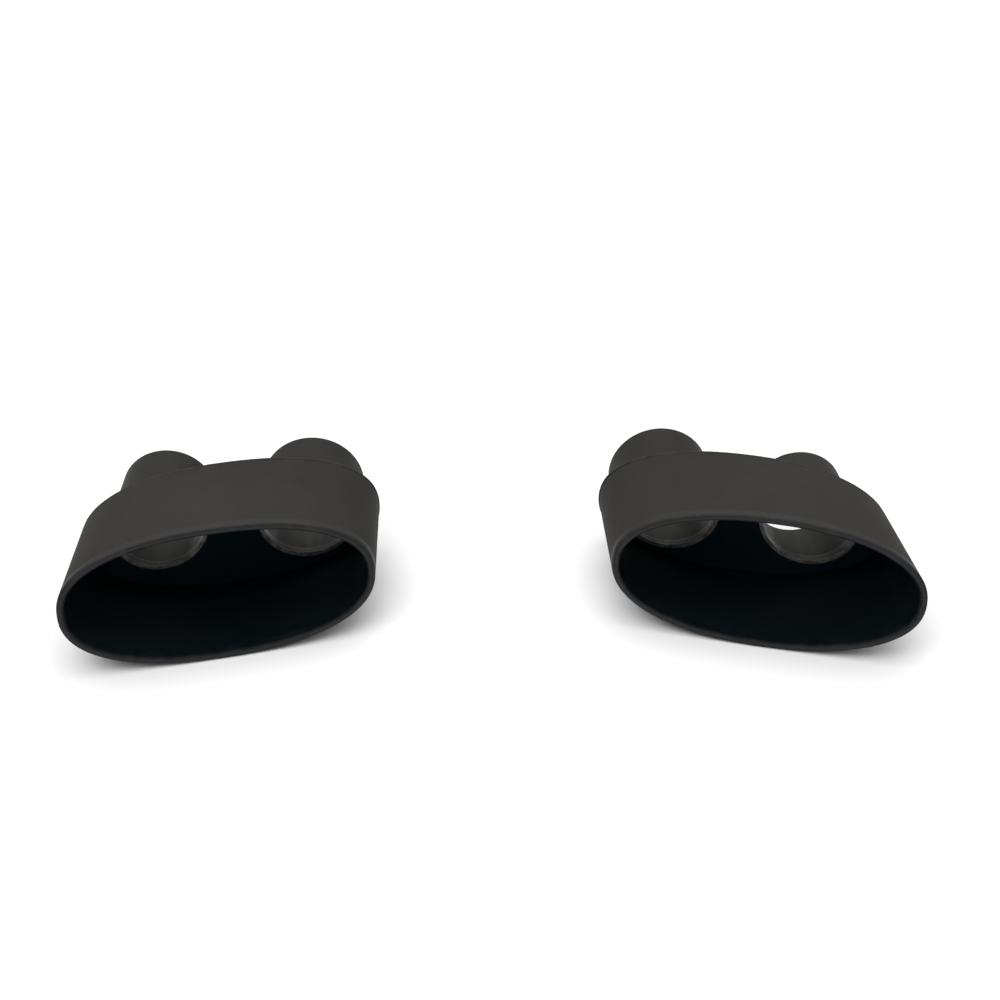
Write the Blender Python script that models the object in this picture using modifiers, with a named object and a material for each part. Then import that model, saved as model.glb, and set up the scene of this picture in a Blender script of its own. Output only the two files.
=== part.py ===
"""A pair of oval twin-inlet exhaust tips, left and right, standing side by side with their mouths forward.

Each tip is a double-walled oval sleeve with a rolled lip round its mouth. A back plate closes the rear,
and two round inlet tubes pass through that plate. The sleeve and the tubes lean towards the middle of
the pair as they run back, so the mouth and the back plate are both cut at a slant to them.

Every tip is built in its own frame: +X outboard, +Y rearwards at right angles to the back plate,
+Z up, with y = 0 on the plate's rear face and z = 0 on the floor. The left tip is the right one
mirrored. An empty then places each tip in the pair.
"""

import math

import bmesh
import bpy
from mathutils import Euler, Vector

# Sleeve, in metres
MOUTH_HALF_WIDTH = 0.0994
MOUTH_HALF_HEIGHT = 0.0459
SLEEVE_DEPTH = 0.0802  # plate's rear face to the lip's centre line
MOUTH_RAKE = -0.10  # how far the mouth leans forward per metre of height
SHEET = 0.0015
LINER_SHEET = 0.0013
GAP = 0.0003  # clearance between pieces that touch

# Rolled lip
LIP_RADIUS = 0.0026
LIP_SHANK = 0.0040

# Back plate and the seam that joins it to the sleeve
PLATE_THICKNESS = 0.0020
SEAM_WIDTH = 0.0012

# Inlet tubes
TUBE_WALL = 0.0015
COLLAR_LENGTH = 0.0060
COLLAR_WALL = 0.0008
BEAD_RADIUS = 0.0009
TUBE_RADIUS = {"inboard": 0.0350, "outboard": 0.03175}

# The two tips are hand-finished, so their rear ovals, lean and tubes differ a little.
# An exponent of 2 would make the oval a true ellipse.
TIPS = {
    "left": {
        "side": -1,
        "at": (-0.1969, -0.1191),
        "yaw": 15.4,
        "lean": 0.240,
        "rear_half_width": 0.0993,
        "rear_half_height": 0.0474,
        "oval_exponent": 2.28,
        "inboard": {"offset": -0.0516, "height": 0.0500, "length": 0.0390},
        "outboard": {"offset": 0.0487, "height": 0.0527, "length": 0.0480},
    },
    "right": {
        "side": 1,
        "at": (0.1884, -0.1066),
        "yaw": -14.4,
        "lean": 0.326,
        "rear_half_width": 0.0978,
        "rear_half_height": 0.0464,
        "oval_exponent": 2.20,
        "inboard": {"offset": -0.0505, "height": 0.0485, "length": 0.0430},
        "outboard": {"offset": 0.0456, "height": 0.0473, "length": 0.0402},
    },
}

OVAL_SIDES = 72
TUBE_SIDES = 40
LIP_ARC_STEPS = 6
BEAD_RESOLUTION = 1

MATERIALS = {
    "matte_black_coat": ((0.050, 0.049, 0.047), 0.55, 0.0),
    "lip_coat": ((0.030, 0.030, 0.033), 0.45, 0.0),
    "liner_enamel": ((0.006, 0.008, 0.010), 0.40, 0.0),
    "plate_enamel": ((0.003, 0.004, 0.005), 0.50, 0.0),
    "tube_steel": ((0.120, 0.115, 0.105), 0.50, 0.6),
    "collar_steel": ((0.200, 0.190, 0.170), 0.40, 0.8),
    "weld_bead": ((0.090, 0.085, 0.080), 0.60, 0.5),
}


def clear_scene():
    for obj in list(bpy.data.objects):
        bpy.data.objects.remove(obj, do_unlink=True)


def new_collection(name):
    collection = bpy.data.collections.new(name)
    bpy.context.scene.collection.children.link(collection)
    return collection


def new_material(name):
    colour, roughness, metallic = MATERIALS[name]
    material = bpy.data.materials.new(name)
    material.use_nodes = True
    shader = material.node_tree.nodes["Principled BSDF"]
    shader.inputs["Base Color"].default_value = (*colour, 1.0)
    shader.inputs["Roughness"].default_value = roughness
    shader.inputs["Metallic"].default_value = metallic
    return material


def between(rear, front, share):
    return rear + (front - rear) * share


def signed_power(value, exponent):
    return math.copysign(abs(value) ** exponent, value)


def oval_point(half_width, half_height, exponent, inset, angle):
    """A point of the oval outline, moved inwards along its normal by inset."""
    x = half_width * signed_power(math.cos(angle), 2 / exponent)
    z = half_height * signed_power(math.sin(angle), 2 / exponent)
    slope_x = signed_power(x / half_width, exponent - 1) / half_width
    slope_z = signed_power(z / half_height, exponent - 1) / half_height
    length = math.hypot(slope_x, slope_z)
    return x - inset * slope_x / length, z - inset * slope_z / length


def oval_ring(tip, ahead, inset):
    """The sleeve's outline at a distance ahead of the plate's rear face, inset from its outer skin."""
    share = ahead / SLEEVE_DEPTH
    half_width = between(tip["rear_half_width"], MOUTH_HALF_WIDTH, share)
    half_height = between(tip["rear_half_height"], MOUTH_HALF_HEIGHT, share)
    centre_x = -tip["lean"] * (SLEEVE_DEPTH - ahead)
    ring = []
    for step in range(OVAL_SIDES):
        angle = 2 * math.pi * (step + 0.5) / OVAL_SIDES
        x, z = oval_point(half_width, half_height, tip["oval_exponent"], inset, angle)
        y = -ahead - share * MOUTH_RAKE * z
        ring.append(Vector((tip["side"] * (centre_x + x), y, half_height + z)))
    return ring


def tube_centre(tip, place, y):
    """Where the axis of a tube passes a plane parallel to the back plate."""
    tube = tip[place]
    x = tube["offset"] - tip["lean"] * (SLEEVE_DEPTH + y)
    return Vector((tip["side"] * x, y, tube["height"]))


def tube_axis(tip):
    return Vector((-tip["side"] * tip["lean"], 1.0, 0.0)).normalized()


def tube_section(tip, place, radius, y, sides):
    """The tube's outline in a plane parallel to the back plate: an ellipse, as the tube leans."""
    centre = tube_centre(tip, place, y)
    half_width = radius * math.hypot(1.0, tip["lean"])
    ring = []
    for step in range(sides):
        angle = 2 * math.pi * step / sides
        ring.append(centre + Vector((half_width * math.cos(angle), 0.0, radius * math.sin(angle))))
    return ring


def mesh_object(name, mesh, collection, material=None):
    obj = bpy.data.objects.new(name, mesh)
    collection.objects.link(obj)
    if material:
        mesh.materials.append(material)
    return obj


def ring_body(name, rings, collection, material):
    """A closed hoop: each ring is joined to the next, and the last to the first."""
    build = bmesh.new()
    loops = [[build.verts.new(point) for point in ring] for ring in rings]
    for this, following in zip(loops, loops[1:] + loops[:1]):
        for step in range(len(this)):
            after = (step + 1) % len(this)
            build.faces.new((this[step], this[after], following[after], following[step]))
    bmesh.ops.recalc_face_normals(build, faces=build.faces)
    mesh = bpy.data.meshes.new(name)
    build.to_mesh(mesh)
    build.free()
    mesh.shade_smooth()
    mesh.set_sharp_from_angle(angle=math.radians(40))
    return mesh_object(name, mesh, collection, material)


def oval_hoop(name, tip, profile, collection, material):
    """A hoop that follows the sleeve, from a closed profile of (distance ahead, inset) corners."""
    rings = [oval_ring(tip, ahead, inset) for ahead, inset in profile]
    return ring_body(name, rings, collection, material)


def outer_sleeve(name, tip, collection, material):
    rear = PLATE_THICKNESS + SEAM_WIDTH + 2 * GAP
    front = SLEEVE_DEPTH - LIP_SHANK - GAP
    profile = [(rear, 0), (front, 0), (front, SHEET), (rear, SHEET)]
    return oval_hoop(name, tip, profile, collection, material)


def inner_liner(name, tip, collection, material):
    """It sits close inside the sleeve at the back and widens to the lip's full thickness at the mouth."""
    rear = PLATE_THICKNESS + GAP
    front = SLEEVE_DEPTH - LIP_SHANK - GAP
    rear_inset = SHEET + GAP
    front_inset = 2 * LIP_RADIUS - LINER_SHEET
    profile = [
        (rear, rear_inset),
        (front, front_inset),
        (front, front_inset + LINER_SHEET),
        (rear, rear_inset + LINER_SHEET),
    ]
    return oval_hoop(name, tip, profile, collection, material)


def rolled_lip(name, tip, collection, material):
    profile = [(SLEEVE_DEPTH - LIP_SHANK, 0)]
    for step in range(LIP_ARC_STEPS + 1):
        turn = math.pi * step / LIP_ARC_STEPS
        ahead = SLEEVE_DEPTH + LIP_RADIUS * math.sin(turn)
        profile.append((ahead, LIP_RADIUS - LIP_RADIUS * math.cos(turn)))
    profile.append((SLEEVE_DEPTH - LIP_SHANK, 2 * LIP_RADIUS))
    return oval_hoop(name, tip, profile, collection, material)


def rear_seam_weld(name, tip, collection, material):
    """The weld between the sleeve's rear edge and the plate, ground flush with the sleeve."""
    rear = PLATE_THICKNESS + GAP
    front = rear + SEAM_WIDTH
    profile = [(rear, 0), (front, 0), (front, SHEET), (rear, SHEET)]
    return oval_hoop(name, tip, profile, collection, material)


def flat_plate(name, outline, thickness, collection):
    """A plate from an outline in the XZ plane, its rear face at y = 0 and its front ahead of it."""
    build = bmesh.new()
    face = build.faces.new([build.verts.new((point.x, 0.0, point.z)) for point in outline])
    extruded = bmesh.ops.extrude_face_region(build, geom=[face])
    moved = [item for item in extruded["geom"] if isinstance(item, bmesh.types.BMVert)]
    bmesh.ops.translate(build, verts=moved, vec=(0.0, -thickness, 0.0))
    bmesh.ops.recalc_face_normals(build, faces=build.faces)
    mesh = bpy.data.meshes.new(name)
    build.to_mesh(mesh)
    build.free()
    return mesh_object(name, mesh, collection)


def cut(obj, cutter):
    cutter.hide_render = True
    cutter.display_type = "WIRE"
    boolean = obj.modifiers.new("cut_" + cutter.name, "BOOLEAN")
    boolean.operation = "DIFFERENCE"
    boolean.solver = "EXACT"
    boolean.object = cutter


def hole_cutter(name, tip, place, radius, cutters):
    length = 8 * PLATE_THICKNESS + 2 * radius
    build = bmesh.new()
    bmesh.ops.create_cone(
        build,
        cap_ends=True,
        segments=TUBE_SIDES,
        radius1=radius,
        radius2=radius,
        depth=length,
    )
    mesh = bpy.data.meshes.new(name)
    build.to_mesh(mesh)
    build.free()
    cutter = mesh_object(name, mesh, cutters)
    cutter.location = tube_centre(tip, place, 0.0)
    cutter.rotation_euler = tube_axis(tip).to_track_quat("Z", "Y").to_euler()
    return cutter


def back_plate(name, tip, collection, cutters, material):
    plate = flat_plate(name, oval_ring(tip, 0.0, 0.0), PLATE_THICKNESS, collection)
    plate.data.materials.append(material)
    for place, radius in TUBE_RADIUS.items():
        cut(plate, hole_cutter(f"{name}_{place}_hole", tip, place, radius + GAP, cutters))
    return plate


def front_trim(name, tip, place, radius, cutters):
    """A block ahead of the back plate's front face, where the tube's front end stops."""
    depth = 2 * radius
    build = bmesh.new()
    bmesh.ops.create_cube(build, size=1.0)
    bmesh.ops.scale(build, vec=(4 * radius, depth, 3 * radius), verts=build.verts)
    mesh = bpy.data.meshes.new(name)
    build.to_mesh(mesh)
    build.free()
    cutter = mesh_object(name, mesh, cutters)
    cutter.location = tube_centre(tip, place, -PLATE_THICKNESS) - Vector((0.0, depth / 2, 0.0))
    return cutter


def inlet_tube(name, tip, place, collection, cutters, material):
    """A turned tube, square at its rear end and trimmed flush with the plate at its front end."""
    outer = TUBE_RADIUS[place]
    inner = outer - TUBE_WALL
    rear = tip[place]["length"]
    front = -outer
    profile = [(outer, rear), (outer, front), (inner, front), (inner, rear)]
    build = bmesh.new()
    corners = [build.verts.new((x, 0.0, z)) for x, z in profile]
    for this, following in zip(corners, corners[1:] + corners[:1]):
        build.edges.new((this, following))
    mesh = bpy.data.meshes.new(name)
    build.to_mesh(mesh)
    build.free()
    obj = mesh_object(name, mesh, collection, material)
    turn = obj.modifiers.new("turn", "SCREW")
    turn.steps = TUBE_SIDES
    turn.render_steps = TUBE_SIDES
    turn.use_merge_vertices = True
    turn.merge_threshold = 0.00001
    turn.use_smooth_shade = True
    obj.location = tube_centre(tip, place, 0.0)
    obj.rotation_euler = tube_axis(tip).to_track_quat("Z", "Y").to_euler()
    cut(obj, front_trim(name + "_trim", tip, place, outer, cutters))
    return obj


def inlet_collar(name, tip, place, collection, material):
    """A short ring inside the tube's front end, with both ends parallel to the back plate."""
    outer = TUBE_RADIUS[place] - TUBE_WALL - GAP
    inner = outer - COLLAR_WALL
    front = -PLATE_THICKNESS
    rear = front + COLLAR_LENGTH
    rings = [
        tube_section(tip, place, radius, y, TUBE_SIDES)
        for radius, y in ((outer, front), (outer, rear), (inner, rear), (inner, front))
    ]
    return ring_body(name, rings, collection, material)


def tube_weld(name, tip, place, collection, material):
    """The bead in the corner between the tube and the plate's rear face."""
    stand_off = BEAD_RADIUS + GAP
    reach = TUBE_RADIUS[place] + stand_off * math.hypot(1.0, tip["lean"])
    path = tube_section(tip, place, reach, stand_off, TUBE_SIDES)
    curve = bpy.data.curves.new(name, "CURVE")
    curve.dimensions = "3D"
    curve.bevel_depth = BEAD_RADIUS
    curve.bevel_resolution = BEAD_RESOLUTION
    spline = curve.splines.new("POLY")
    spline.points.add(len(path) - 1)
    for point, place_on_path in zip(spline.points, path):
        point.co = (*place_on_path, 1.0)
    spline.use_cyclic_u = True
    curve.materials.append(material)
    obj = bpy.data.objects.new(name, curve)
    collection.objects.link(obj)
    return obj


def build_tip(hand, tip, collection, cutters, materials):
    """Makes every piece of one tip, parented to an empty that stands the tip in its place."""
    coat = materials["matte_black_coat"]
    steel = materials["tube_steel"]
    pieces = [
        outer_sleeve(f"{hand}_outer_sleeve", tip, collection, coat),
        rolled_lip(f"{hand}_rolled_lip", tip, collection, materials["lip_coat"]),
        inner_liner(f"{hand}_inner_liner", tip, collection, materials["liner_enamel"]),
        rear_seam_weld(f"{hand}_rear_seam_weld", tip, collection, coat),
        back_plate(f"{hand}_back_plate", tip, collection, cutters, materials["plate_enamel"]),
    ]
    for place in TUBE_RADIUS:
        stem = f"{hand}_{place}"
        pieces += [
            inlet_tube(f"{stem}_inlet_tube", tip, place, collection, cutters, steel),
            inlet_collar(f"{stem}_inlet_collar", tip, place, collection, materials["collar_steel"]),
            tube_weld(f"{stem}_tube_weld", tip, place, collection, materials["weld_bead"]),
        ]
    stand = bpy.data.objects.new(f"{hand}_tip", None)
    collection.objects.link(stand)
    for piece in pieces + [obj for obj in cutters.objects if obj.name.startswith(hand)]:
        piece.parent = stand
    stand.location = (*tip["at"], 0.0)
    stand.rotation_euler = Euler((0.0, 0.0, math.radians(tip["yaw"])))
    return stand, pieces


def centre_pair(stands, pieces):
    """Moves both tips so that the origin is at the bottom centre of the pair's box."""
    bpy.context.view_layer.update()
    graph = bpy.context.evaluated_depsgraph_get()
    corners = []
    for piece in pieces:
        evaluated = piece.evaluated_get(graph)
        mesh = evaluated.to_mesh()
        corners += [evaluated.matrix_world @ vertex.co for vertex in mesh.vertices]
        evaluated.to_mesh_clear()
    low = Vector([min(corner[i] for corner in corners) for i in range(3)])
    high = Vector([max(corner[i] for corner in corners) for i in range(3)])
    for stand in stands:
        stand.location -= Vector(((low.x + high.x) / 2, (low.y + high.y) / 2, low.z))


def main():
    clear_scene()
    collection = new_collection("exhaust_tip_pair")
    cutters = new_collection("cutters")
    materials = {name: new_material(name) for name in MATERIALS}
    stands = []
    pieces = []
    for hand, tip in TIPS.items():
        stand, made = build_tip(hand, tip, collection, cutters, materials)
        stands.append(stand)
        pieces += made
    centre_pair(stands, pieces)


main()
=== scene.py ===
"""The looks of the exhaust tip pair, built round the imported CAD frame.

Each CAD node is replaced by a finer piece of the same shape and place. A tip is made in its own frame, as
the CAD solids are: +X to the right, +Y rearwards at right angles to the back plate, +Z up, with y = 0 on
the plate's rear face. The back plate's CAD box then says where the tip stands.
"""

import math

import bmesh
import bpy
from mathutils import Matrix, Vector


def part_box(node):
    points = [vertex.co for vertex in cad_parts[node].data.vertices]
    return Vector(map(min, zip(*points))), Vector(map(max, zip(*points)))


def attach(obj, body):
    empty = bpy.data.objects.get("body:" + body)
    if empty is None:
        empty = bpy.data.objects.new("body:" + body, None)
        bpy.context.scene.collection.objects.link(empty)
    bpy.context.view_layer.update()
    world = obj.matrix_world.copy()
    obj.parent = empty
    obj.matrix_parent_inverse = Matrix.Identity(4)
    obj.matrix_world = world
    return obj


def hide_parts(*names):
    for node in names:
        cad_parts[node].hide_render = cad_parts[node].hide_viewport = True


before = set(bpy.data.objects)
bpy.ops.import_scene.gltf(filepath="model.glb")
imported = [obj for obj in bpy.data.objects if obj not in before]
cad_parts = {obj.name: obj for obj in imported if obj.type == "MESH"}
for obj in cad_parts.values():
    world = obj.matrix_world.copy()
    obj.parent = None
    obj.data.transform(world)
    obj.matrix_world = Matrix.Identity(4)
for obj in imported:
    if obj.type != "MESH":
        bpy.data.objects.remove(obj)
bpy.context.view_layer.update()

# Sizes in metres and turns in degrees, as the CAD solids have them
MOUTH_HALF_WIDTH = 0.0994
MOUTH_HALF_HEIGHT = 0.0459
SLEEVE_DEPTH = 0.0802
MOUTH_RAKE = -0.10  # how far ahead the mouth leans per metre of height
SHEET = 0.0015
LINER_SHEET = 0.0013
LIP_RADIUS = 0.0026
LIP_SHANK = 0.0040
PLATE_THICKNESS = 0.0020
SEAM_WIDTH = 0.0012
TUBE_WALL = 0.0015
COLLAR_LENGTH = 0.0060
COLLAR_WALL = 0.0008
BEAD_RADIUS = 0.0009
TUBE_RADIUS = {"inboard": 0.0350, "outboard": 0.03175}

# A tip's lean is its shift inboard per metre rearwards. A tube's offset is outboard of the plate's centre,
# its height is above the floor, and its length is behind the plate
TIPS = {
    "left": {
        "side": -1,
        "yaw": 15.4,
        "lean": 0.240,
        "rear_half_width": 0.0993,
        "rear_half_height": 0.0474,
        "oval_exponent": 2.28,
        "inboard": {"offset": -0.0516, "height": 0.0500, "length": 0.0390},
        "outboard": {"offset": 0.0487, "height": 0.0527, "length": 0.0480},
    },
    "right": {
        "side": 1,
        "yaw": -14.4,
        "lean": 0.326,
        "rear_half_width": 0.0978,
        "rear_half_height": 0.0464,
        "oval_exponent": 2.20,
        "inboard": {"offset": -0.0505, "height": 0.0485, "length": 0.0430},
        "outboard": {"offset": 0.0456, "height": 0.0473, "length": 0.0402},
    },
}
CAD_OVAL_SIDES = 72
FACET_SLACK = 0.00010  # the CAD hoops have flat sides, so the round ones sit this far inside them

# Fineness of the pieces
OVAL_SIDES = 288
TUBE_SIDES = 144
ARC_STEPS = 5
NOSE_STEPS = 20
SMOOTH_ANGLE = 35.0
SHEET_PITCH = 0.004
PIPE_PITCH = 0.005
COLLAR_PITCH = 0.003
SUPPORT = 0.0006  # a ring this far from each rounded edge keeps the flat beside it flat in shading

# Clearances
TOUCH = 0.00002
FIT = 0.00015

# Radii of the edges
SLEEVE_EDGE = 0.0003
SEAM_EDGE = 0.0002
PLATE_EDGE = 0.0004
PIPE_FRONT_EDGE = 0.0003
PIPE_REAR_EDGE = 0.0005
PIPE_BORE_EDGE = 0.00005
COLLAR_REAR_EDGE = 0.0002
COLLAR_BORE_EDGE = 0.00045

SEAM_DROP = 0.00010  # how far the ground seam lies below the sleeve
BARE_END = 0.0002  # this close to its front end a tube or its collar is bare and rubbed
BARE_DEPTH = 0.9  # a tube is bare from this share of its wall inwards

# The bead round each tube
WELD_PITCH = 0.0026
STEPS_PER_RIPPLE = 6
WELD_SECTION_SIDES = 12
WELD_SINK = 0.00035
RIPPLE_HEIGHT = 0.14  # the share of the bead's radius that comes and goes with a ripple
RIPPLE_ROUNDNESS = 1.6
WELD_WAVES = ((0.04, 7, 0.0), (0.03, 17, 1.3))  # share of the bead's radius, waves round the tube, phase

# The camera and the studio
CAMERA_AT = (0.00464, -0.90290, 0.59520)
CAMERA_PITCH = 29.86
CAMERA_LENS = 57.6
SENSOR = 36.0
NEAREST_SEEN = 0.01
SKY_HORIZON = 0.15  # the sky's strength at the horizon
SKY_RISE = 2.2  # how much stronger it is straight overhead
BACKDROP = 1.1  # the strength that the camera sees
LIGHT_AIM = (0.0, 0.0, 0.05)
LIGHT_SIZE = (1.2, 0.9)
LIGHTS = {
    "key": {"at": (-0.65, -1.15, 1.65), "power": 14.0},
    "back": {"at": (0.25, 0.80, 1.85), "power": 5.0},
}
FLOOR_HALF = 25.0
FLOOR_TONES = ((0.79, 0.79, 0.79), (0.81, 0.81, 0.81))
FLOOR_ROUGH = 0.9


# Outlines


def between(rear, front, share):
    return rear + (front - rear) * share


def signed_power(value, exponent):
    return math.copysign(abs(value) ** exponent, value)


def oval_point(half_width, half_height, exponent, inset, angle):
    """A point of the oval outline, moved inwards along its normal by inset."""
    x = half_width * signed_power(math.cos(angle), 2 / exponent)
    z = half_height * signed_power(math.sin(angle), 2 / exponent)
    slope_x = signed_power(x / half_width, exponent - 1) / half_width
    slope_z = signed_power(z / half_height, exponent - 1) / half_height
    length = math.hypot(slope_x, slope_z)
    return x - inset * slope_x / length, z - inset * slope_z / length


def oval_ring(tip, ahead, inset, sides=OVAL_SIDES):
    """The sleeve's outline at a distance ahead of the plate's rear face, inset from its outer skin."""
    share = ahead / SLEEVE_DEPTH
    half_width = between(tip["rear_half_width"], MOUTH_HALF_WIDTH, share)
    half_height = between(tip["rear_half_height"], MOUTH_HALF_HEIGHT, share)
    centre_x = -tip["lean"] * (SLEEVE_DEPTH - ahead)
    ring = []
    for step in range(sides):
        angle = 2 * math.pi * (step + 0.5) / sides
        x, z = oval_point(half_width, half_height, tip["oval_exponent"], inset, angle)
        y = -ahead - share * MOUTH_RAKE * z
        ring.append(Vector((tip["side"] * (centre_x + x), y, half_height + z)))
    return ring


def stand_of(hand, tip):
    """Where the tip stands in the pair, from the box of its back plate's CAD solid."""
    turn = Matrix.Rotation(math.radians(tip["yaw"]), 4, "Z")
    rear = oval_ring(tip, 0.0, 0.0, CAD_OVAL_SIDES)
    corners = [turn @ point for point in rear]
    corners += [turn @ (point - Vector((0.0, PLATE_THICKNESS, 0.0))) for point in rear]
    low = Vector([min(corner[i] for corner in corners) for i in range(3)])
    return Matrix.Translation(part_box(f"{hand}_back_plate")[0] - low) @ turn


def rounded(corners):
    """A closed profile of (u, v, worn) points from (u, v, radius) corners.

    Worn is 1 on a rounded edge and 0 elsewhere.
    """
    profile = []
    count = len(corners)
    for index, (u, v, radius) in enumerate(corners):
        here = Vector((u, v))
        before = Vector(corners[index - 1][:2]) - here
        after = Vector(corners[(index + 1) % count][:2]) - here
        if not radius:
            profile.append((u, v, 0.0))
            continue
        half = before.angle(after) / 2
        reach = radius / math.tan(half)
        start = here + before.normalized() * reach
        end = here + after.normalized() * reach
        middle = here + (before.normalized() + after.normalized()).normalized() * radius / math.sin(half)
        lead_in = start + before.normalized() * SUPPORT
        lead_out = end + after.normalized() * SUPPORT
        profile.append((*lead_in, 0.0))
        for step in range(ARC_STEPS + 1):
            spoke = (start - middle).lerp(end - middle, step / ARC_STEPS).normalized() * radius
            profile.append((*(middle + spoke), 1.0))
        profile.append((*lead_out, 0.0))
    return profile


def divided(profile, longest):
    """The same closed profile with its long stretches cut into shorter ones."""
    fine = []
    for this, following in zip(profile, profile[1:] + profile[:1]):
        span = math.dist(this[:2], following[:2])
        parts = max(1, math.ceil(span / longest))
        for part in range(parts):
            fine.append(tuple(a + (b - a) * part / parts for a, b in zip(this, following)))
    return fine


# Meshes


def joined(build, this, following):
    """The smooth faces between two loops of as many vertices."""
    faces = []
    for step in range(len(this)):
        after = (step + 1) % len(this)
        face = build.faces.new((this[step], this[after], following[after], following[step]))
        face.smooth = True
        faces.append(face)
    return faces


def finish_mesh(name, build, materials):
    """The mesh object of a bmesh, its float layers turned into point attributes."""
    bmesh.ops.recalc_face_normals(build, faces=build.faces)
    mesh = bpy.data.meshes.new(name)
    build.to_mesh(mesh)
    build.free()
    mesh.set_sharp_from_angle(angle=math.radians(SMOOTH_ANGLE))
    for material in materials:
        mesh.materials.append(material)
    obj = bpy.data.objects.new(name, mesh)
    bpy.context.scene.collection.objects.link(obj)
    return obj


def hoop(name, rings, shares, materials, inside=()):
    """A closed hoop: each ring is joined to the next and the last to the first.

    shares maps an attribute's name to each ring's value of it. The faces that start from a ring whose
    number is in inside take the second material.
    """
    build = bmesh.new()
    layers = {key: build.verts.layers.float.new(key) for key in shares}
    loops = []
    for index, ring in enumerate(rings):
        loop = [build.verts.new(point) for point in ring]
        for key, layer in layers.items():
            for vert in loop:
                vert[layer] = shares[key][index]
        loops.append(loop)
    for index, (this, following) in enumerate(zip(loops, loops[1:] + loops[:1])):
        for face in joined(build, this, following):
            face.material_index = 1 if index in inside else 0
    return finish_mesh(name, build, materials)


def oval_hoop(name, tip, profile, material, **shares):
    """A hoop along the sleeve, from (ahead, inset, worn) points."""
    rings = [oval_ring(tip, ahead, inset) for ahead, inset, _ in profile]
    return hoop(name, rings, {"worn": [worn for _, _, worn in profile], **shares}, [material])


def sleeve_skin(name, tip, looks):
    """The outer sheet, rolled round at its rear edge and running flush into the lip."""
    rear = PLATE_THICKNESS + SEAM_WIDTH
    front = SLEEVE_DEPTH - LIP_SHANK - TOUCH
    outer = FACET_SLACK
    corners = [
        (rear, outer, SLEEVE_EDGE),
        (front, outer, 0.0),
        (front, outer + SHEET, 0.0),
        (rear, outer + SHEET, 0.0),
    ]
    return oval_hoop(name, tip, divided(rounded(corners), SHEET_PITCH), looks["sleeve_coat"])


def lip_roll(name, tip, looks):
    """The rolled rim of the mouth, a half round nose on a short shank."""
    back = SLEEVE_DEPTH - LIP_SHANK
    middle = back + LIP_SHANK / 2
    outer = FACET_SLACK
    radius = LIP_RADIUS - FACET_SLACK / 2
    profile = [(back, outer, 0.0), (middle, outer, 0.0)]
    for step in range(NOSE_STEPS + 1):
        turn = math.pi * step / NOSE_STEPS
        ahead = SLEEVE_DEPTH + (radius - FACET_SLACK) * math.sin(turn)
        profile.append((ahead, outer + radius - radius * math.cos(turn), math.sin(turn)))
    profile += [(middle, 2 * LIP_RADIUS, 0.0), (back, 2 * LIP_RADIUS, 0.0)]
    inner = [min(1.0, inset / (2 * LIP_RADIUS)) for _, inset, _ in profile]
    return oval_hoop(name, tip, profile, looks["lip_coat"], inner=inner)


def liner_skin(name, tip, looks):
    """The inner sheet, which runs from the back plate to the lip's inner edge."""
    rear = PLATE_THICKNESS + TOUCH
    front = SLEEVE_DEPTH - LIP_SHANK - TOUCH
    rear_inset = SHEET + FIT + FACET_SLACK
    front_inset = 2 * LIP_RADIUS - LINER_SHEET
    corners = [
        (rear, rear_inset, 0.0),
        (front, front_inset, 0.0),
        (front, front_inset + LINER_SHEET, 0.0),
        (rear, rear_inset + LINER_SHEET + FIT, 0.0),
    ]
    return oval_hoop(name, tip, divided(corners, SHEET_PITCH), looks["liner_enamel"])


def seam_bead(name, tip, looks):
    """The ground weld between the plate and the sleeve, a hair lower than both."""
    rear = PLATE_THICKNESS + TOUCH
    front = PLATE_THICKNESS + SEAM_WIDTH - TOUCH
    outer = FACET_SLACK + SEAM_DROP
    corners = [
        (rear, outer, SEAM_EDGE),
        (front, outer, SEAM_EDGE),
        (front, outer + SHEET, 0.0),
        (rear, outer + SHEET, 0.0),
    ]
    return oval_hoop(name, tip, rounded(corners), looks["sleeve_coat"])


def tube_axis(tip):
    """The direction of the tip's tubes, rearwards."""
    return Vector((-tip["side"] * tip["lean"], 1.0, 0.0)).normalized()


def tube_point(tip, place, radius, along, angle):
    """A point on the tube. along is the distance behind the plate's rear face, down the tube's axis."""
    axis = tube_axis(tip)
    across = Vector((axis.y, -axis.x, 0.0))
    tube = tip[place]
    x = tip["side"] * (tube["offset"] - tip["lean"] * SLEEVE_DEPTH)
    centre = Vector((x, 0.0, tube["height"])) + axis * along
    return centre + across * radius * math.cos(angle) + Vector((0.0, 0.0, radius * math.sin(angle)))


def plane_point(tip, place, radius, y, angle):
    """The point where a line of the tube's wall meets a plane parallel to the plate."""
    axis = tube_axis(tip)
    foot = tube_point(tip, place, radius, 0.0, angle)
    return foot + axis * (y - foot.y) / axis.y


def plane_ring(tip, place, radius, y):
    """The oval that the tube's wall makes in a plane parallel to the plate."""
    return [
        plane_point(tip, place, radius, y, 2 * math.pi * step / TUBE_SIDES)
        for step in range(TUBE_SIDES)
    ]


def wall_ring(tip, place, radius, share, front, length):
    """A ring of the tube's wall: share 0 lies in the plane y = front, share 1 is the square rear end."""
    ring = []
    for step in range(TUBE_SIDES):
        angle = 2 * math.pi * step / TUBE_SIDES
        start = plane_point(tip, place, radius, front, angle)
        end = tube_point(tip, place, radius, length, angle)
        ring.append(start.lerp(end, share))
    return ring


def end_worn(profile):
    """The profile's worn values, with the front end worn all over."""
    return [1.0 if along < BARE_END else worn for along, _, worn in profile]


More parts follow.
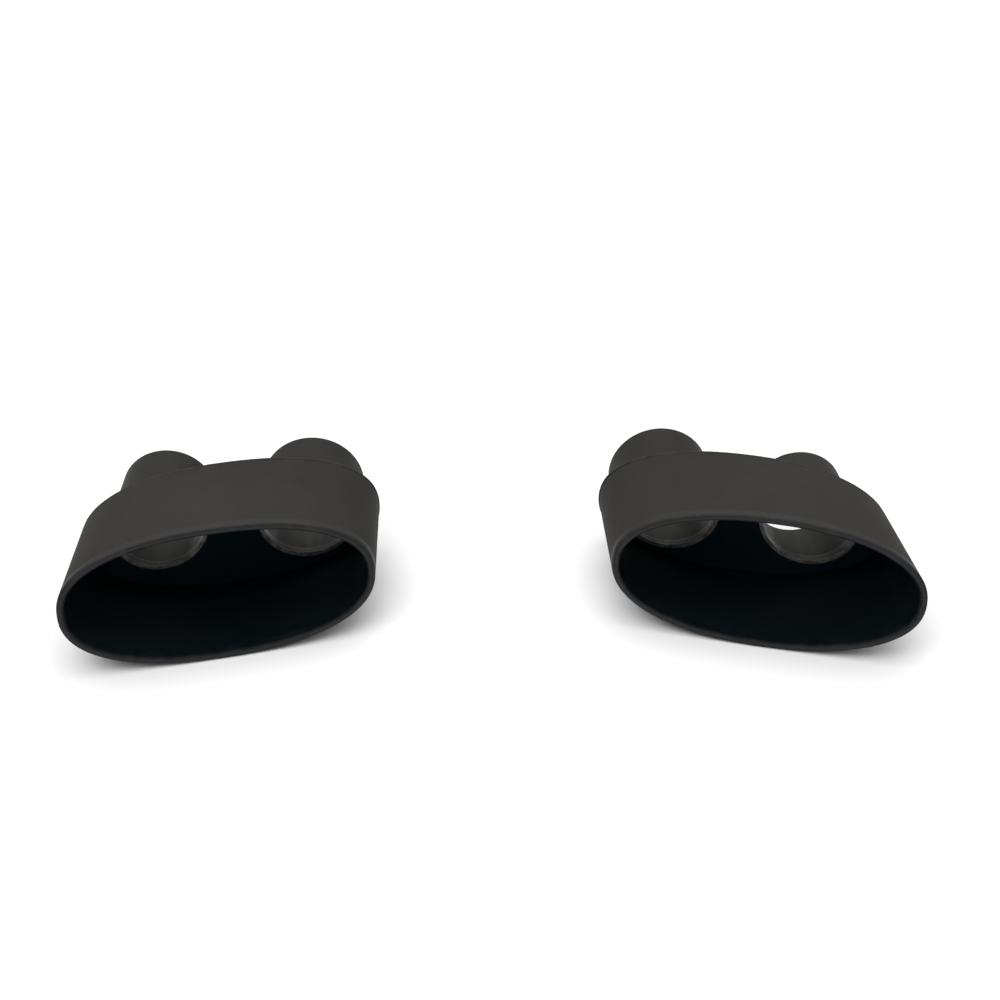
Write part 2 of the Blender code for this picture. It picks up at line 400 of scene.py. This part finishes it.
def inlet_pipe(name, tip, place, looks):
    """A tube with eased ends, flush with the plate's front face and square-cut behind."""
    radius = TUBE_RADIUS[place]
    length = tip[place]["length"]
    span = length + PLATE_THICKNESS
    corners = [
        (0.0, radius, PIPE_FRONT_EDGE),
        (span, radius, PIPE_REAR_EDGE),
        (span, radius - TUBE_WALL, PIPE_REAR_EDGE),
        (0.0, radius - TUBE_WALL, PIPE_BORE_EDGE),
    ]
    profile = divided(rounded(corners), PIPE_PITCH)
    rings = [
        wall_ring(tip, place, reach, along / span, -PLATE_THICKNESS, length)
        for along, reach, _ in profile
    ]
    bare = radius - BARE_DEPTH * TUBE_WALL
    inside = {
        index for index, (along, reach, _) in enumerate(profile) if reach < bare or along < BARE_END
    }
    return hoop(name, rings, {"worn": end_worn(profile)}, [looks["tube_coat"], looks["tube_steel"]], inside)


def collar_ring(name, tip, place, looks):
    """The short ring inside the tube's front end, eased at its edges."""
    outer = TUBE_RADIUS[place] - TUBE_WALL - TOUCH
    inner = TUBE_RADIUS[place] - TUBE_WALL - 2 * FIT - COLLAR_WALL
    corners = [
        (0.0, outer, 0.0),
        (COLLAR_LENGTH, outer, COLLAR_REAR_EDGE),
        (COLLAR_LENGTH, inner, COLLAR_BORE_EDGE),
        (0.0, inner, COLLAR_BORE_EDGE),
    ]
    profile = divided(rounded(corners), COLLAR_PITCH)
    rings = [plane_ring(tip, place, reach, along - PLATE_THICKNESS) for along, reach, _ in profile]
    return hoop(name, rings, {"worn": end_worn(profile)}, [looks["collar_steel"]])


def tube_fillet(name, tip, place, looks):
    """The bead in the corner between the tube and the plate's rear face, with the welder's ripples."""
    reach = TUBE_RADIUS[place] + BEAD_RADIUS - WELD_SINK
    height = BEAD_RADIUS - WELD_SINK
    steps = round(2 * math.pi * reach / WELD_PITCH) * STEPS_PER_RIPPLE
    rings, crests = [], []
    for step in range(steps):
        angle = 2 * math.pi * step / steps
        phase = (step % STEPS_PER_RIPPLE) / STEPS_PER_RIPPLE
        crest = 1.0 - abs(2.0 * phase - 1.0) ** RIPPLE_ROUNDNESS
        uneven = sum(share * math.sin(waves * angle + shift) for share, waves, shift in WELD_WAVES)
        thick = BEAD_RADIUS * (1 - RIPPLE_HEIGHT + RIPPLE_HEIGHT * crest + uneven)
        centre = plane_point(tip, place, reach, height, angle)
        outward = (centre - plane_point(tip, place, 0.0, height, angle)).normalized()
        ring = []
        for corner in range(WELD_SECTION_SIDES):
            turn = 2 * math.pi * corner / WELD_SECTION_SIDES
            spoke = outward * math.cos(turn) + Vector((0.0, math.sin(turn), 0.0))
            ring.append(centre + spoke * thick)
        rings.append(ring)
        crests.append(crest)
    return hoop(name, rings, {"worn": crests}, [looks["weld_bead"]])


def plate_sheet(name, tip, looks):
    """The back plate: its rim and both holes are eased, and the holes follow the leaning tubes."""
    turns = [math.pi / 2 * step / ARC_STEPS for step in range(ARC_STEPS + 1)]
    eased = [(PLATE_EDGE * (1 - math.cos(turn)), PLATE_EDGE * (1 - math.sin(turn))) for turn in turns]
    profile = eased + [(PLATE_THICKNESS - deep, inward) for deep, inward in reversed(eased)]

    rim = []
    for deep, inward in profile:
        outline = oval_ring(tip, 0.0, FACET_SLACK + inward)
        rim.append([Vector((point.x, -deep, point.z)) for point in outline])
    walls = [rim]
    for place, radius in TUBE_RADIUS.items():
        walls.append([plane_ring(tip, place, radius + FIT + inward, -deep) for deep, inward in profile])

    build = bmesh.new()
    layer = build.verts.layers.float.new("worn")
    rears, fronts = [], []
    for wall in walls:
        loops = [[build.verts.new(point) for point in ring] for ring in wall]
        for loop in loops[1:-1]:
            for vert in loop:
                vert[layer] = 1.0
        for this, following in zip(loops, loops[1:]):
            joined(build, this, following)
        rears.append(loops[0])
        fronts.append(loops[-1])
    for loops in (rears, fronts):
        edges = []
        for loop in loops:
            for this, after in zip(loop, loop[1:] + loop[:1]):
                edges.append(build.edges.get((this, after)))
        made = bmesh.ops.triangle_fill(build, use_beauty=True, use_dissolve=False, edges=edges)
        for item in made["geom"]:
            if loops is fronts and isinstance(item, bmesh.types.BMFace):
                item.material_index = 1
    return finish_mesh(name, build, [looks["sleeve_coat"], looks["plate_enamel"]])


# Nodes


def node(tree, kind, inputs=None, **settings):
    made = tree.nodes.new(kind)
    for key, value in settings.items():
        setattr(made, key, value)
    for key, value in (inputs or {}).items():
        if isinstance(value, bpy.types.NodeSocket):
            tree.links.new(value, made.inputs[key])
        else:
            made.inputs[key].default_value = value
    return made


def noise(tree, where, scale, detail=3.0, rough=0.55):
    inputs = {"Vector": where, "Scale": scale, "Detail": detail, "Roughness": rough}
    return node(tree, "ShaderNodeTexNoise", inputs).outputs["Fac"]


def mapped(tree, value, band, to=(0.0, 1.0)):
    inputs = {"Value": value, "From Min": band[0], "From Max": band[1], "To Min": to[0], "To Max": to[1]}
    return node(tree, "ShaderNodeMapRange", inputs).outputs["Result"]


def maths(tree, operation, first, second):
    return node(tree, "ShaderNodeMath", {0: first, 1: second}, operation=operation).outputs[0]


def layered(tree, coarse, fine, share):
    """The coarse pattern with a share of the fine one added."""
    return maths(tree, "ADD", coarse, maths(tree, "MULTIPLY", fine, share))


def blend_colour(tree, share, first, second):
    made = node(tree, "ShaderNodeMix", data_type="RGBA")
    colour_sockets = [socket for socket in made.inputs if socket.type == "RGBA"]
    share_socket = [socket for socket in made.inputs if socket.type == "VALUE"][0]
    tree.links.new(share, share_socket)
    for socket, value in zip(colour_sockets, (first, second)):
        if isinstance(value, bpy.types.NodeSocket):
            tree.links.new(value, socket)
        else:
            socket.default_value = (*value, 1.0)
    return [socket for socket in made.outputs if socket.type == "RGBA"][0]


def attribute(tree, name):
    return node(tree, "ShaderNodeAttribute", attribute_name=name).outputs["Fac"]


def rubbed(tree, where, scale, band, to, detail=4.0):
    """How far the surface is rubbed: in patches of noise, and only where the mesh is worn."""
    patches = mapped(tree, noise(tree, where, scale, detail), band, to)
    return maths(tree, "MULTIPLY", attribute(tree, "worn"), patches)


def add_bump(tree, shader, height, distance):
    bump = node(tree, "ShaderNodeBump", {"Height": height, "Distance": distance, "Strength": 1.0})
    tree.links.new(bump.outputs["Normal"], shader.inputs["Normal"])


# Looks, with noise scales in cells per metre

DRIFT_SCALE = 9.0
CLOUD_SCALE = 55.0
DUST_SCALE = 620.0
PEEL_SCALE = 700.0
GRAIN_SCALE = 1900.0
COAT_RUB_SCALE = 130.0
LIP_CLOUD_SCALE = 70.0
LIP_RUB_SCALE = 150.0
STAIN_SCALE = 32.0
MARK_SCALE = 260.0
STEEL_RUB_SCALE = 160.0
FLOOR_SCALE = 3.0
NOISE_BAND = (0.3, 0.7)  # where most of a noise's values lie

# Where each colour comes in on the lip, as shares of the way over it from outside. These colours are painted
# light: painted shade on the shoulder, a painted highlight over the nose, and at the inner edge the enamel's
# own blue-black, deepened by painted shade
SHOULDER_SHADE_BAND = (0.03, 0.22)
NOSE_HIGHLIGHT_BAND = (0.28, 0.58)
INNER_BAND = (0.58, 1.02)
SHEEN_BAND = (0.40, 0.90)
LIP_SPECULAR = (0.12, 0.01)
LIP_WAVER = 0.06
LIP_RUB_TINT = 1.6
LIP_GRAIN_HEIGHT = 0.00002
STEEL_MARK_HEIGHT = 0.00003


def new_look(name, specular, metallic=0.0):
    material = bpy.data.materials.new(name)
    material.use_nodes = True
    tree = material.node_tree
    shader = tree.nodes["Principled BSDF"]
    shader.inputs["Specular IOR Level"].default_value = specular
    shader.inputs["Metallic"].default_value = metallic
    where = node(tree, "ShaderNodeTexCoord").outputs["Object"]
    return material, tree, shader, where


def coat_look(name, dark, light, edge, specular, rough, grain_height):
    """A baked powder coat: a soft drift of tone, a fine orange peel, specks of dust and rubbed edges."""
    material, tree, shader, where = new_look(name, specular)
    cloud = noise(tree, where, CLOUD_SCALE, 4.0)
    peel = noise(tree, where, PEEL_SCALE, 2.0, 0.5)
    tone = mapped(tree, layered(tree, noise(tree, where, DRIFT_SCALE, 2.0), cloud, 0.5), (0.5, 1.0))
    colour = blend_colour(tree, tone, dark, light)
    dust = mapped(tree, noise(tree, where, DUST_SCALE, 2.0, 0.7), (0.72, 0.80), (0.0, 0.35))
    colour = blend_colour(tree, dust, colour, edge)
    rub = rubbed(tree, where, COAT_RUB_SCALE, (0.42, 0.72), (0.15, 0.75))
    colour = blend_colour(tree, rub, colour, edge)
    tree.links.new(colour, shader.inputs["Base Color"])
    rough_map = mapped(tree, layered(tree, cloud, peel, 0.5), (0.5, 1.0), (rough - 0.05, rough + 0.06))
    tree.links.new(rough_map, shader.inputs["Roughness"])
    add_bump(tree, shader, layered(tree, peel, noise(tree, where, GRAIN_SCALE, 2.0), 0.4), grain_height)
    return material


def lip_look(name, outer, shoulder_shade, nose, inner, rough):
    """The lip's coat with painted light over its roll: painted shade where it rolls over from the outside, a
    painted highlight over the nose, and at the inner edge the enamel's blue-black, deepened by painted
    shade.
    """
    material, tree, shader, where = new_look(name, LIP_SPECULAR[0])
    sway = mapped(tree, noise(tree, where, LIP_CLOUD_SCALE, 4.0), NOISE_BAND, (-LIP_WAVER, LIP_WAVER))
    depth = maths(tree, "ADD", attribute(tree, "inner"), sway)
    # painted shade on the shoulder and a painted highlight over the nose, then the enamel's blue-black with
    # painted shade at the inner edge
    colour = blend_colour(tree, mapped(tree, depth, SHOULDER_SHADE_BAND), outer, shoulder_shade)
    colour = blend_colour(tree, mapped(tree, depth, NOSE_HIGHLIGHT_BAND), colour, nose)
    colour = blend_colour(tree, mapped(tree, depth, INNER_BAND), colour, inner)
    rub = rubbed(tree, where, LIP_RUB_SCALE, (0.55, 0.75), (0.0, 0.4))
    colour = blend_colour(tree, rub, colour, tuple(LIP_RUB_TINT * part for part in outer))
    tree.links.new(colour, shader.inputs["Base Color"])
    specular = mapped(tree, depth, SHEEN_BAND, LIP_SPECULAR)
    tree.links.new(specular, shader.inputs["Specular IOR Level"])
    peel = noise(tree, where, PEEL_SCALE, 2.0, 0.5)
    rough_map = mapped(tree, peel, NOISE_BAND, (rough - 0.04, rough + 0.04))
    tree.links.new(rough_map, shader.inputs["Roughness"])
    add_bump(tree, shader, peel, LIP_GRAIN_HEIGHT)
    return material


def steel_look(name, dark, light, edge, rough, stretch, metallic, specular):
    """Dull steel with stains, rubbed edges, and drawing marks made of noise stretched along x, y and z."""
    material, tree, shader, where = new_look(name, specular, metallic)
    shape = node(tree, "ShaderNodeMapping", {"Vector": where, "Scale": stretch}).outputs["Vector"]
    marks = noise(tree, shape, MARK_SCALE, 5.0, 0.65)
    stain = noise(tree, where, STAIN_SCALE, 4.0)
    colour = blend_colour(tree, mapped(tree, layered(tree, stain, marks, 0.6), (0.55, 1.05)), dark, light)
    rub = rubbed(tree, where, STEEL_RUB_SCALE, (0.35, 0.65), (0.3, 1.0), detail=3.0)
    colour = blend_colour(tree, rub, colour, edge)
    tree.links.new(colour, shader.inputs["Base Color"])
    rough_map = mapped(tree, marks, NOISE_BAND, (rough - 0.08, rough + 0.10))
    tree.links.new(rough_map, shader.inputs["Roughness"])
    add_bump(tree, shader, marks, STEEL_MARK_HEIGHT)
    return material


def make_looks():
    return {
        "sleeve_coat": coat_look(
            "matte_black_powder_coat",
            dark=(0.0235, 0.0227, 0.0211),
            light=(0.0310, 0.0300, 0.0279),
            edge=(0.042, 0.041, 0.039),
            specular=0.05, rough=0.66, grain_height=0.00003),
        "lip_coat": lip_look(
            "matte_black_lip_coat_painted_shade_and_highlight",
            outer=(0.0235, 0.0228, 0.0215),
            # the shoulder colour is painted shade, the nose colour a painted highlight, and the inner colour
            # the enamel's blue-black with painted shade
            shoulder_shade=(0.0125, 0.0125, 0.0128),
            nose=(0.0228, 0.0231, 0.0249),
            inner=(0.0026, 0.0044, 0.0058),
            rough=0.50),
        "liner_enamel": coat_look(
            "blue_black_enamel",
            dark=(0.0022, 0.0042, 0.0056),
            light=(0.0036, 0.0060, 0.0078),
            edge=(0.006, 0.008, 0.010),
            specular=0.012, rough=0.50, grain_height=0.00002),
        "plate_enamel": coat_look(
            "blue_black_plate_enamel",
            dark=(0.0036, 0.0090, 0.0128),
            light=(0.0056, 0.0120, 0.0164),
            edge=(0.006, 0.008, 0.010),
            specular=0.010, rough=0.52, grain_height=0.00002),
        "tube_coat": coat_look(
            "matte_black_tube_coat",
            dark=(0.0205, 0.0198, 0.0183),
            light=(0.0260, 0.0252, 0.0233),
            edge=(0.044, 0.042, 0.040),
            specular=0.08, rough=0.60, grain_height=0.00003),
        "tube_steel": steel_look(
            "dull_tube_steel",
            dark=(0.021, 0.0201, 0.0182),
            light=(0.039, 0.0374, 0.0341),
            edge=(0.190, 0.184, 0.170),
            rough=0.50, stretch=(1.0, 0.12, 1.0), metallic=0.3, specular=0.2),
        "collar_steel": steel_look(
            "satin_collar_steel",
            dark=(0.028, 0.0270, 0.0246),
            light=(0.050, 0.0484, 0.0445),
            edge=(0.190, 0.184, 0.170),
            rough=0.42, stretch=(0.35, 1.0, 0.35), metallic=0.4, specular=0.2),
        "weld_bead": coat_look(
            "coated_weld_bead",
            dark=(0.018, 0.0172, 0.0162),
            light=(0.030, 0.0290, 0.0272),
            edge=(0.060, 0.057, 0.053),
            specular=0.20, rough=0.52, grain_height=0.00004),
    }


def build_tip(hand, tip, looks):
    stand = stand_of(hand, tip)
    pieces = [
        (sleeve_skin(f"{hand}_sleeve_skin", tip, looks), "outer_sleeve", "sleeve_coat"),
        (lip_roll(f"{hand}_lip_roll", tip, looks), "rolled_lip", "lip_coat"),
        (liner_skin(f"{hand}_liner_skin", tip, looks), "inner_liner", "liner_enamel"),
        (seam_bead(f"{hand}_seam_bead", tip, looks), "rear_seam_weld", "sleeve_coat"),
        (plate_sheet(f"{hand}_plate_sheet", tip, looks), "back_plate", "plate_enamel"),
    ]
    for place in TUBE_RADIUS:
        stem = f"{hand}_{place}"
        pieces += [
            (inlet_pipe(f"{stem}_pipe", tip, place, looks), f"{place}_inlet_tube", "tube_steel"),
            (collar_ring(f"{stem}_ring", tip, place, looks), f"{place}_inlet_collar", "collar_steel"),
            (tube_fillet(f"{stem}_fillet", tip, place, looks), f"{place}_tube_weld", "weld_bead"),
        ]
    for piece, cad_node, slot in pieces:
        piece.data.transform(stand)
        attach(piece, f"{hand}_tip")
        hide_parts(f"{hand}_{cad_node}")


# The studio


def floor_look():
    material, tree, shader, where = new_look("pale_floor", 0.0)
    tone = mapped(tree, noise(tree, where, FLOOR_SCALE, 3.0), NOISE_BAND)
    tree.links.new(blend_colour(tree, tone, *FLOOR_TONES), shader.inputs["Base Color"])
    shader.inputs["Roughness"].default_value = FLOOR_ROUGH
    return material


def make_floor():
    build = bmesh.new()
    corners = [(-1, -1), (1, -1), (1, 1), (-1, 1)]
    build.faces.new([build.verts.new((x * FLOOR_HALF, y * FLOOR_HALF, 0.0)) for x, y in corners])
    mesh = bpy.data.meshes.new("floor")
    build.to_mesh(mesh)
    build.free()
    mesh.materials.append(floor_look())
    floor = bpy.data.objects.new("floor", mesh)
    bpy.context.scene.collection.objects.link(floor)


def make_sky():
    """A sky that brightens towards the zenith, and that the camera sees as plain white."""
    world = bpy.data.worlds.new("studio")
    world.use_nodes = True
    tree = world.node_tree
    background = tree.nodes["Background"]
    direction = node(tree, "ShaderNodeTexCoord").outputs["Generated"]
    height = node(tree, "ShaderNodeSeparateXYZ", {"Vector": direction}).outputs["Z"]
    rise = maths(tree, "MULTIPLY", height, height)
    glow = maths(tree, "ADD", maths(tree, "MULTIPLY", rise, SKY_RISE), SKY_HORIZON)
    seen = node(tree, "ShaderNodeLightPath").outputs["Is Camera Ray"]
    strength = node(tree, "ShaderNodeMix", {"Factor": seen, "A": glow, "B": BACKDROP})
    background.inputs["Color"].default_value = (1.0, 1.0, 1.0, 1.0)
    tree.links.new(strength.outputs["Result"], background.inputs["Strength"])
    bpy.context.scene.world = world


def soft_box(name, at, power):
    """A large light overhead that shines on the pair and stays out of the camera's view."""
    data = bpy.data.lights.new(name, "AREA")
    data.shape = "RECTANGLE"
    data.size, data.size_y = LIGHT_SIZE
    data.energy = power
    lamp = bpy.data.objects.new(name, data)
    lamp.location = at
    lamp.rotation_euler = (Vector(LIGHT_AIM) - Vector(at)).to_track_quat("-Z", "Y").to_euler()
    lamp.visible_camera = False
    bpy.context.scene.collection.objects.link(lamp)


def make_camera():
    data = bpy.data.cameras.new("camera")
    data.lens = CAMERA_LENS
    data.sensor_width = SENSOR
    data.clip_start = NEAREST_SEEN
    camera = bpy.data.objects.new("camera", data)
    camera.location = CAMERA_AT
    camera.rotation_euler = (math.radians(90.0 - CAMERA_PITCH), 0.0, 0.0)
    bpy.context.scene.collection.objects.link(camera)
    bpy.context.scene.camera = camera


make_camera()
make_floor()
make_sky()
for light_name, light in LIGHTS.items():
    soft_box(light_name, light["at"], light["power"])
bpy.context.scene.view_settings.view_transform = "Standard"

LOOKS = make_looks()
for hand, tip in TIPS.items():
    build_tip(hand, tip, LOOKS)

bpy.context.view_layer.update()
